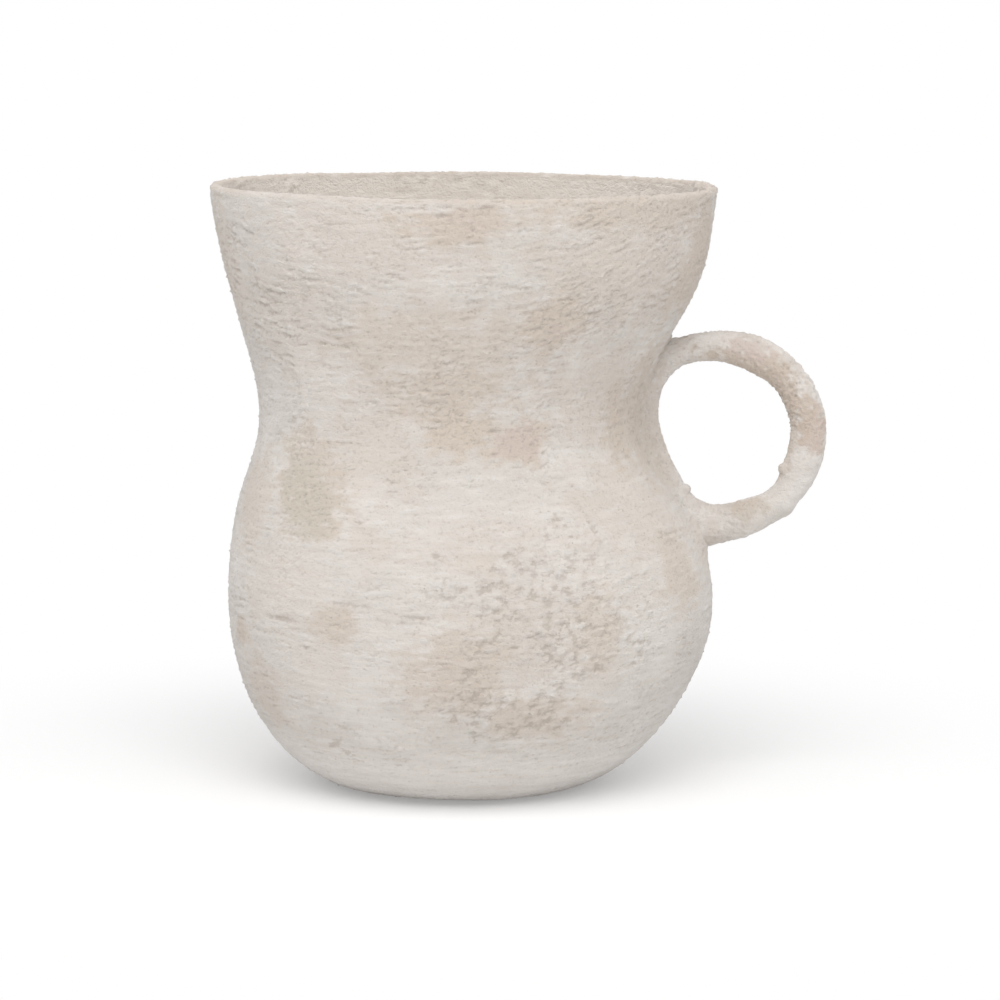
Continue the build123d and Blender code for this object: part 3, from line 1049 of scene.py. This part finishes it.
def make_clay_pot():
    """The pot as one closed skin, with finger ridges inside and a flat foot."""
    section, steps_inside = pot_section()
    radius, lean, height = section.T
    inside = np.arange(len(section)) < steps_inside
    angle = np.arange(POT_COLUMNS) * FULL_TURN / POT_COLUMNS
    along = distance_along(radius, height)
    marks = Marks(len(section), POT_COLUMNS, POT_STEP, MEAN_RADIUS * FULL_TURN / POT_COLUMNS, seed=23)
    turns = along[:, None] / FINGER_PITCH + angle[None, :] / FULL_TURN
    worn_in = smooth(along, 4.0, 16.0) * inside
    spiral = np.cos(FULL_TURN * turns + 0.5 * marks.swell(60.0))
    fingers = worn_in[:, None] * (spiral + 0.3 * marks.strokes(4.0, 25.0))
    lift = np.where(inside[:, None], FINGER_DEPTH * fingers + 0.04 * marks.lumps(5.0), 0.0)
    lift *= smooth(-height, -COAT_END - 10.0, -COAT_END + 4.0)[:, None]
    coated_inside = smooth(height, COAT_END + 8.0, COAT_END + 20.0)
    coated_outside = smooth(height, 3.0, 8.0)
    lift += SUNK_UNDER_COAT * np.where(inside, coated_inside, coated_outside)[:, None]
    out, up = line_normals(radius, height)
    places = wall_places(radius[:, None], lean[:, None], height[:, None], angle[None, :])
    places[..., 0] += lift * out[:, None] * np.cos(angle)
    places[..., 1] += lift * out[:, None] * np.sin(angle)
    places[..., 2] += lift * up[:, None]
    places[..., 2] = np.maximum(places[..., 2], 0.0)
    values = {"ridge": np.where(inside[:, None], fingers, 0.0)}
    return make_skin("clay_pot_wall", hand_made(places), values, poles=True)


clay_pot = make_clay_pot()
stand_for(clay_pot, "fired_clay", "clay_body")

# %% [markdown]
# The coil was rolled by hand and shows it: under 12 mm thick over the top of the ring, 14 to 15 on the right
# and at the bottom, with a sudden thin place between those. A plain ring would look machine made. So every
# place on the coil gets two angles, one round the ring and one round the coil itself, and short tables say
# by those angles how thick the coil is, where crumbs of clay stick to it and where it is rubbed bare.

# %% Tables of the coil's shape, crumbs and bare patches
# Angle round the ring, from its outermost point and up: the coil's thickness there, and how far it stands
# out from the drawn round.
COIL_SHAPE = {
    -90: (14.7, 0.2), -78: (14.8, -0.2), -67: (14.1, -0.6), -60: (12.7, -0.4), -54: (12.5, 0.2),
    -48: (12.9, 0.5), -42: (11.8, 0.2), -34: (12.9, -0.1), -18: (14.7, -0.4), 0: (14.2, 0.1),
    12: (14.0, 0.4), 24: (14.2, 0.1), 42: (13.6, 0.2), 60: (14.4, -0.2), 72: (14.2, 0.0),
    84: (12.9, 0.0), 92: (11.8, 0.4), 102: (11.3, 0.0), 111: (10.8, -0.5), 125: (12.2, 0.0),
    150: (12.8, 0.0), 190: (13.2, 0.0), 225: (13.6, 0.0), 250: (14.2, 0.1),
}
# Angle round the ring, angle round the coil (0 is its outer side, 90 faces the camera), size and height.
COIL_LUMPS = {
    "pressed flat along the waist": (190, 180, 15.0, -1.7),
    "crumb at the foot of the ring's hole": (233, 162, 2.8, 1.9),
    "crumb on the hole's right side": (-28, 165, 2.8, 1.9),
    "small crumb beside it": (-21, 172, 1.4, 0.5),
    "crumb on top, beside the wall": (107, 8, 1.2, 0.4),
    "corner on the lower right": (-47, 5, 3.0, 0.4),
    "crumb under the ring": (-74, 175, 1.5, 0.5),
}
# Angle round the ring, angle round the coil, half length, half width, how bare and how warm.
COIL_PATCHES = {
    "inner side, upper right": (56, 135, 26, 9, 0.85, 0.0),
    "top, right of the middle": (74, 72, 9, 5, 0.65, 0.8),
    "outer side, right": (6, 66, 8, 7, 1.00, 0.6),
    "middle of the right side": (20, 110, 9, 6, 0.85, 0.0),
    # Bare clay, and painted shade on the ring's inner side.
    "inner side, right": (-8, 165, 16, 4, 0.45, 0.0),
    "bottom, towards the right": (-68, 130, 9, 5, 0.62, -0.6),
    "inner side, bottom": (-95, 155, 22, 4, 0.28, 0.1),
    "along the waist": (184, 100, 32, 14, 0.36, 0.0),
    "along the waist, behind": (180, 260, 40, 12, 0.50, 0.2),
    "back, top": (70, 280, 16, 8, 0.70, 0.0),
    "back, bottom": (-60, 270, 14, 8, 0.60, 0.3),
}
print(f"{len(COIL_SHAPE)} thicknesses, {len(COIL_LUMPS)} lumps and {len(COIL_PATCHES)} patches on the coil")

# %% [markdown]
# The coil has a grid of its own, along the ring one way and round the coil the other. Short helpers measure
# turns and distances on it, so that the tables can say where things are in plain angles. On the lower right
# the slip lies thick and hides most of the grain. A little above the outermost point the grain is roughest.

# %% Places on the coil
COIL_COLUMNS = 96
COIL_STEP = COIL_LENGTH / COIL_STEPS
THICK_SLIP_AT = -28
ROUGHEST_AT = 18


def turn_between(first, second):
    """The shorter turn from one angle in degrees to another."""
    return (first - second + 180) % 360 - 180


ring_angle = np.degrees(np.arctan2(coil_points[:, 1] - RING_HEIGHT, coil_points[:, 0] - RING_X))
RING_GRID, COIL_GRID = np.meshgrid(ring_angle, np.arange(COIL_COLUMNS) * 360 / COIL_COLUMNS, indexing="ij")


def from_place(ring_at, coil_at):
    """How far all of the coil lies from one place on it, along the ring and round the coil, in mm."""
    along = np.radians(turn_between(RING_GRID, ring_at)) * RING_RADIUS
    around = np.radians(turn_between(COIL_GRID, coil_at)) * COIL
    return along, around


def near_turn(ring_at, low, high):
    """1 on the stretch of the ring around an angle, falling to 0 away from it."""
    return smooth(np.cos(np.radians(turn_between(RING_GRID, ring_at))), low, high)


coil_marks = Marks(COIL_STEPS, COIL_COLUMNS, COIL_STEP, COIL * FULL_TURN / COIL_COLUMNS, seed=37)
thick_slip = near_turn(THICK_SLIP_AT, 0.75, 0.95)
rough_right = near_turn(ROUGHEST_AT, 0.6, 0.95)
print(f"Coil grid: {COIL_STEPS} steps of {COIL_STEP:.2f} mm by {COIL_COLUMNS} columns")

# %% [markdown]
# The tables then become fields on that grid. The thickness goes softly from one given angle to the next,
# because even where rolled clay is suddenly thin it has no sharp step. Crumbs are round rises with a flat
# top, laid over the grain of the slip, and the bare patches fade out at the edge as they do on the coat.
# All this could be sculpted too, but a number in a table is easier to correct.

# %% Shape, relief and wear of the coil
SHAPE_BLUR = 4.0
WORN_DEPTH = 0.15


def coil_shape():
    """Thickness of the coil at each step, and how far it stands out, with no sudden turns."""
    blur = np.exp(-((np.fft.rfftfreq(COIL_STEPS, COIL_STEP) * SHAPE_BLUR) ** 2))
    known = list(COIL_SHAPE)
    shape = [np.interp(ring_angle, known, sizes, period=360) for sizes in zip(*COIL_SHAPE.values())]
    return [np.fft.irfft(np.fft.rfft(sizes) * blur, COIL_STEPS) for sizes in shape]


def coil_relief():
    """Fine relief of the coil, and how far its surface is lifted with its crumbs and lumps too."""
    fine = 0.105 * coil_marks.lumps(2.4) + 0.09 * coil_marks.lumps(4.6)
    fine += 0.03 * coil_marks.strokes(2.0, 6.0, 80.0)
    fine += 0.35 * coil_marks.dots(44, 0.9) - 0.30 * coil_marks.dots(40, 0.8)
    fine *= (1 + 0.6 * rough_right) * (1 - 0.6 * thick_slip)
    lift = 0.08 * coil_marks.swell(16.0) + fine
    for ring_at, coil_at, size, rise in COIL_LUMPS.values():
        along, around = from_place(ring_at, coil_at)
        lift += rise * np.exp(-((np.hypot(along, around) / size) ** 4))
    return fine, lift


def coil_wear():
    """How bare and how warm each place on the coil is."""
    bare_coil = np.clip((0.09 + 0.12 * coil_marks.swell(10.0)) * (1 - thick_slip), 0, None)
    warm_coil = 0.2 * coil_marks.swell(20.0)
    fray = 0.20 * coil_marks.swell(6.0) + 0.12 * coil_marks.lumps(4.0)
    for ring_at, coil_at, half_length, half_width, strength, warmth in COIL_PATCHES.values():
        along, around = from_place(ring_at, coil_at)
        here = smooth(1 - np.hypot(along / half_length, around / half_width) + fray, -0.35, 0.40)
        bare_coil = np.maximum(bare_coil, strength * here)
        warm_coil = warm_coil * (1 - here) + warmth * here
    return bare_coil, warm_coil


coil_thickness, coil_stands_out = coil_shape()
coil_fine, coil_lift = coil_relief()
bare_coil, warm_coil = coil_wear()
white_coil = np.clip(0.45 + 0.20 * coil_marks.swell(14.0), 0, 1)
coil_lift -= WORN_DEPTH * bare_coil
print(f"The coil is {coil_thickness.min():.1f} to {coil_thickness.max():.1f} mm thick")

# %% [markdown]
# The handle itself is a closed tube round the ring's line, whose radius changes from step to step. It swells
# into the corner with the same formula as the coat, so the two meet softly. The side that is bedded in the
# wall is pressed flat there, just under the coat's face, so that it never shows inside the jug.

# %% Piece: the ring handle
BEDDING = 1.6


def bedded(places, centres):
    """Swells the coil towards the wall, and holds the part that lies in the wall just under the coat."""
    rising = np.arange(LIP_ROW)
    wall_radius = np.interp(places[..., 2], LEVEL[rising], RADIUS[rising])
    wall_lean = np.interp(places[..., 2], LEVEL[rising], LEAN[rising])
    steep = np.interp(places[..., 2], LEVEL[rising], line_normals(RADIUS, LEVEL)[0][rising])
    x, y = places[..., 0] - wall_lean, places[..., 1]
    from_axis = np.hypot(x, y)
    gap = (from_axis - wall_radius) * steep
    centre = np.stack([centres[:, 0], 0 * centres[:, 0], centres[:, 1]], axis=1)[:, None]
    away = places - centre
    away /= np.linalg.norm(away, axis=-1)[..., None]
    places = places + soft_rise(gap, places[..., 2])[..., None] * away * (gap > -BEDDING)[..., None]
    shortfall = np.clip(-BEDDING - gap, 0, None) / steep
    places[..., 0] += shortfall * x / from_axis
    places[..., 1] += shortfall * y / from_axis
    return places


def make_ring_handle():
    """The coil as a closed tube, with its uneven thickness, its lumps and its crumbs."""
    ahead, behind = np.roll(coil_points, -1, axis=0), np.roll(coil_points, 1, axis=0)
    heading = (ahead - behind) / np.linalg.norm(ahead - behind, axis=1)[:, None]
    outwards = np.stack([-heading[:, 1], heading[:, 0]], axis=1)
    radius = coil_thickness[:, None] / 2 + coil_lift
    out_part = coil_stands_out[:, None] + radius * np.cos(np.radians(COIL_GRID))
    side_part = radius * np.sin(np.radians(COIL_GRID))
    x = coil_points[:, None, 0] + outwards[:, None, 0] * out_part
    z = coil_points[:, None, 1] + outwards[:, None, 1] * out_part
    places = bedded(np.stack([x, -side_part, z], axis=-1), coil_points)
    ridge_coil = coil_fine / coil_fine.max() * RIDGE_LIMIT
    values = {"bare": bare_coil, "warm": warm_coil, "ridge": ridge_coil, "white": white_coil}
    return make_skin("ring_handle_coil", places, values)


ring_handle = make_ring_handle()
stand_for(ring_handle, "coated_coil", "ring_handle")

# %% [markdown]
# The wads and seams of corner clay are thin, with feathered edges that no grid of ours would follow well.
# Their CAD solids have the right shape, so each is copied, given even faces by a voxel remesh, smoothed, and
# swelled a little with lumps from solid noise, as clay that a finger has pressed along.

# %% Pieces: the corner clay
VOXEL = 0.35
SMOOTHING = 6
CLAY_LUMP = 0.35
CLAY_LUMP_PITCH = 3.2
# The grain's height and pitch as shares of a lump's.
GRAIN_HEIGHT = 0.3
GRAIN_PITCH = 0.4
# CAD node, then the new piece's name, how far it is swelled in mm and how bare it is.
CORNER_PIECES = {
    "upper_clay_wad": ("upper_wad_pressed", 0.35, 0.35),
    "lower_clay_wad": ("lower_wad_pressed", 1.3, 0.30),
    # The seams are left nearly bare, which also paints the shade beside the coil.
    "front_seam_clay": ("front_seam_pressed", 0.9, 0.95),
    "back_seam_clay": ("back_seam_pressed", 0.9, 0.95),
}


def make_corner_clay(node, name, swell, bare_mean):
    """A CAD solid of corner clay as an even, lumpy mesh."""
    rough = in_scene(name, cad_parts[node].data.copy())
    even = rough.modifiers.new("even_faces", "REMESH")
    even.mode = "VOXEL"
    even.voxel_size = VOXEL * MM
    soften = rough.modifiers.new("soften", "SMOOTH")
    soften.iterations = SMOOTHING
    mesh = bpy.data.meshes.new_from_object(rough.evaluated_get(bpy.context.evaluated_depsgraph_get()))
    bpy.data.objects.remove(rough)
    mesh.name = name
    lumps = [solid_noise.noise(v.co / (CLAY_LUMP_PITCH * MM)) for v in mesh.vertices]
    grain = [solid_noise.noise(v.co / (GRAIN_PITCH * CLAY_LUMP_PITCH * MM)) for v in mesh.vertices]
    moved = [
        v.co + v.normal * (swell + CLAY_LUMP * lump + GRAIN_HEIGHT * CLAY_LUMP * small) * MM
        for v, lump, small in zip(mesh.vertices, lumps, grain)
    ]
    mesh.vertices.foreach_set("co", np.array(moved).ravel())
    for value_name, field in (("bare", bare_mean + 0.5 * np.array(lumps)), ("ridge", 3 * np.array(grain))):
        mesh.attributes.new(value_name, "FLOAT", "POINT").data.foreach_set("value", field)
    mesh.materials.clear()
    mesh.shade_smooth()
    piece = in_scene(name, mesh)
    stand_for(piece, "corner_clay", node)
    print(f"{name}: {len(mesh.polygons)} faces")
    return piece


corner_pieces = [make_corner_clay(node, *settings) for node, settings in CORNER_PIECES.items()]

# %% [markdown]
# A finish is a material made of shader nodes. The class below gives the few that this jug needs short names.
# All patterns are read in the jug's own coordinates, so they stay on the surface from every side and need no
# seam. A brush streak is ordinary noise that has been stretched round the jug and squeezed upwards.

# %% Shorthand for finishes
NOISE_ROUGHNESS = 0.6
LITTLE_SHEEN = 0.18
POWDERY = 0.7


class Finish:
    """A material under construction."""

    def __init__(self, name):
        self.material = bpy.data.materials.new(name)
        self.tree = empty_graph(self.material)
        self.place = self.add("TexCoord", out="Object")

    def add(self, kind, inputs=None, out=0, **settings):
        """One more node of this finish."""
        return add_node(self.tree, kind, inputs, out, **settings)

    def stored(self, name):
        """A value that the mesh stores at its points."""
        return self.add("Attribute", out="Fac", attribute_name=name)

    def noise(self, wide, high, detail, shift=0.0):
        """Noise from 0 to 1 with grains so many millimetres wide and high."""
        scale = (1 / (wide * MM), 1 / (wide * MM), 1 / (high * MM))
        squeezed = self.add("Mapping", {"Vector": self.place, "Location": (shift,) * 3, "Scale": scale})
        grains = {"Vector": squeezed, "Scale": 1.0, "Detail": detail, "Roughness": NOISE_ROUGHNESS}
        return self.add("TexNoise", grains, out="Fac")

    def maths(self, operation, first, second):
        """One operation on two values, each a number or another node's output."""
        return self.add("Math", {0: first, 1: second}, operation=operation)

    def added(self, *terms):
        """The sum of pairs of a value and its weight."""
        total = 0.0
        for value, weight in terms:
            total = self.maths("ADD", total, self.maths("MULTIPLY", value, weight))
        return total

    def steep(self, value, low, high, least=0.0, most=1.0):
        """least below low, most above high, and an even S between."""
        inputs = {"Value": value, "From Min": low, "From Max": high, "To Min": least, "To Max": most}
        return self.add("MapRange", inputs, out="Result", interpolation_type="SMOOTHSTEP")

    def mixed(self, share, first, second):
        """Two colours mixed by a share. Sockets 6 and 7 and output 2 are the ones for colours."""
        return self.add("Mix", {0: share, 6: first, 7: second}, out=2, data_type="RGBA")

    def pinholes(self, spacing, size, share):
        """1 in the middle of scattered pinholes. share is how many of the possible ones are there."""
        cells = {"Vector": self.place, "Scale": 1 / (spacing * MM)}
        distance = self.add("TexVoronoi", cells, out="Distance")
        hole = self.steep(distance, 0.5 * size / spacing, size / spacing, 1.0, 0.0)
        chance = self.add("SeparateColor", {"Color": distance.node.outputs["Color"]}, out="Red")
        return self.maths("MULTIPLY", hole, self.maths("LESS_THAN", chance, share))

    def bump(self, height, depth, below=None):
        """Fine relief: the height runs from 0 to 1 over the depth in millimetres."""
        inputs = {"Height": height, "Distance": depth * MM}
        if below is not None:
            inputs["Normal"] = below
        return self.add("Bump", inputs, out="Normal")

    def matt(self, colour, roughness, normal):
        """Ends the finish as a matt, dry, unglazed surface."""
        dry = {"Specular IOR Level": LITTLE_SHEEN, "Diffuse Roughness": POWDERY}
        surface = {"Base Color": colour, "Roughness": roughness, "Normal": normal}
        self.add("OutputMaterial", {"Surface": self.add("BsdfPrincipled", {**surface, **dry})})
        return self.material


def shade(red, green, blue):
    """A colour as a picture shows it, 0 to 255, turned into the light that a shader works with."""
    parts = [value / 255 for value in (red, green, blue)]
    return tuple(v / 12.92 if v <= 0.04045 else ((v + 0.055) / 1.055) ** 2.4 for v in parts) + (1.0,)


print(f"A grey of 128 in a picture is {shade(128, 128, 128)[0]:.2f} of the light to a shader")

# %% [markdown]
# The coat's finish follows how the slip lies. Thick slip is a warm white, and inside the mouth it is
# painted lighter still, as painted light against the shade there.
# Where it is thin it turns beige, by the mesh's own bare patches and by dry brush strokes and blots, which
# are steadier inside a patch. Each patch leans a little to olive or to pink. The hollows get dust and
# painted shade, pinholes are darker, and small specks gather where the slip is blotchy. Grain and streaks
# too fine for the mesh are a bump. Painted pictures could carry all this too, but noise needs no files and
# shows no seam.

# %% Finish: the brushed mineral coat
WHITE_SLIP = shade(223, 219, 215)
GREY_SLIP = shade(207, 202, 197)
# Painted light: the slip inside the mouth is lighter, against the shade that falls there.
MOUTH_SLIP_PAINTED_LIGHT = shade(231, 225, 218)
BEIGE = shade(204, 193, 182)
OLIVE = shade(198, 190, 179)
PINK = shade(202, 188, 180)
# Dust, and the painted shade that darkens the hollows of the relief.
DUST_AND_SHADE = shade(158, 150, 142)


def coat_finish(name, beige, streak=1.0, bare_least=0.0):
    """Slip over clay: white where thick, beige where thin. streak is how much the brush marks show."""
    f = Finish(name)
    bare_at, ridge_at, warm_at = f.stored("bare"), f.stored("ridge"), f.stored("warm")
    white_at = f.stored("white")
    streaks = f.noise(6.0, 1.6, 4.0)
    dry_strokes = f.noise(16.0, 1.1, 3.0, shift=13.0)
    fine_streaks = f.noise(1.4, 0.8, 2.0, shift=3.0)
    grain = f.noise(0.9, 0.8, 2.0, shift=5.0)
    lumps = f.noise(2.0, 1.6, 3.0, shift=11.0)
    blots = f.noise(5.0, 3.4, 4.0, shift=7.0)
    bands = f.noise(14.0, 2.6, 3.0, shift=9.0)

    # How thin the slip is. The last weight of a sum brings its middle back to where it should be.
    wear = f.added(
        (streaks, 0.20 * streak), (fine_streaks, 0.06 * streak), (lumps, 0.16 * streak),
        (dry_strokes, 0.34 * streak), (blots, 0.38), (ridge_at, -0.06 * streak),
        (1.0, -0.19 - 0.38 * streak))
    less_in_patches = f.added((bare_at, -0.35), (1.0, 1.0))
    worn_through = f.added((bare_at, 0.85), (wear, less_in_patches), (1.0, bare_least))
    thin = f.steep(worn_through, -0.20, 0.90)

    # Slip where it is thick, clay where it is thin.
    slip = f.mixed(f.added((white_at, 0.8), (blots, 0.7), (bands, 1.6), (1.0, -1.05)), GREY_SLIP, WHITE_SLIP)
    # Inside the mouth the slip is painted lighter, as light against its shade.
    slip = f.mixed(f.stored("in_mouth"), slip, MOUTH_SLIP_PAINTED_LIGHT)
    clay_shows = f.mixed(f.steep(warm_at, 0.0, 1.0), beige, PINK)
    clay_shows = f.mixed(f.steep(warm_at, 0.0, -1.0), clay_shows, OLIVE)
    colour = f.mixed(thin, slip, clay_shows)

    # Dust and painted shade in the hollows, dark pinholes, and specks.
    hollow = f.added((ridge_at, -0.34), (grain, -1.6), (fine_streaks, -1.3), (lumps, -1.6), (1.0, 2.45))
    dust_and_painted_shade = f.maths("MULTIPLY", f.steep(hollow, 0.2, 1.5), f.added((bare_at, 0.12), (1.0, 0.36)))
    colour = f.mixed(dust_and_painted_shade, colour, DUST_AND_SHADE)
    colour = f.mixed(f.maths("MULTIPLY", f.pinholes(7.0, 0.42, 0.35), 0.6), colour, DUST_AND_SHADE)
    specks_lie = f.steep(f.added((blots, 1.0), (bare_at, 0.25)), 0.40, 0.75, 0.0, 0.40)
    colour = f.mixed(f.maths("MULTIPLY", f.pinholes(2.6, 0.62, 0.45), specks_lie), colour, DUST_AND_SHADE)

    # Relief that is finer than the mesh.
    normal = f.bump(fine_streaks, 0.46)
    normal = f.bump(grain, 0.38, normal)
    normal = f.bump(f.maths("MULTIPLY", lumps, f.added((bare_at, 0.5), (1.0, 0.5))), 0.50, normal)
    return f.matt(colour, f.steep(thin, 0.0, 1.0, 0.95, 0.86), normal)


rough_coat.data.materials.append(coat_finish("brushed_white_slip", BEIGE))
print("Finish on the coat:", rough_coat.data.materials[0].name)

# %% [markdown]
# The handle has the same slip, but it was put on thinner and has rubbed off the inner side, where fingers
# go. The corner clay was barely covered at all. Both use the coat's finish with other settings.

# %% Finish: coil and corner clay
COIL_CLAY = shade(198, 185, 173)
CORNER_CLAY = shade(208, 194, 178)
ring_handle.data.materials.append(coat_finish("thin_slip_on_coil", COIL_CLAY, streak=0.45))
corner_finish = coat_finish("pressed_corner_clay", CORNER_CLAY, streak=0.7, bare_least=0.05)
for piece in corner_pieces:
    piece.data.materials.append(corner_finish)
print(f"{corner_finish.name} is on {len(corner_pieces)} pieces")

# %% [markdown]
# The bare clay is a dry buff earthenware. It is a little redder in the grooves of the finger ridges, sandy
# all over, and has dark specks of iron and light grits. Long flat noise stands for the lines of the wheel.

# %% Finish: bare fired clay
BUFF = shade(208, 190, 168)
DARKER_BUFF = shade(198, 177, 154)
RED_IN_GROOVES = shade(188, 162, 137)
LIGHT_GRIT = shade(218, 203, 184)
IRON = shade(96, 70, 54)


def clay_finish():
    """Unglazed buff earthenware with sand and iron specks."""
    f = Finish("bare_buff_clay")
    clouds = f.noise(30.0, 14.0, 3.0)
    sand = f.noise(0.9, 0.9, 3.0, shift=2.0)
    wheel_lines = f.noise(25.0, 0.9, 3.0, shift=4.0)
    colour = f.mixed(f.steep(clouds, 0.3, 0.7), BUFF, DARKER_BUFF)
    colour = f.mixed(f.steep(f.stored("ridge"), 0.2, -1.2, 0.0, 0.5), colour, RED_IN_GROOVES)
    colour = f.mixed(f.steep(sand, 0.55, 0.8, 0.0, 0.5), colour, LIGHT_GRIT)
    colour = f.mixed(f.maths("MULTIPLY", f.pinholes(3.4, 0.4, 0.3), 0.7), colour, IRON)
    normal = f.bump(sand, 0.20)
    normal = f.bump(wheel_lines, 0.16, normal)
    return f.matt(colour, f.steep(sand, 0.2, 0.8, 0.82, 0.95), normal)


clay_pot.data.materials.append(clay_finish())
print("Finish on the pot:", clay_pot.data.materials[0].name)

# %% Sizes of the finished jug
full_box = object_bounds()
grown = [round((b - a) / MM, 2) for a, b in zip(cad_box[1] - cad_box[0], full_box[1] - full_box[0])]
print("The finished jug is larger than the CAD model by", grown, "mm")
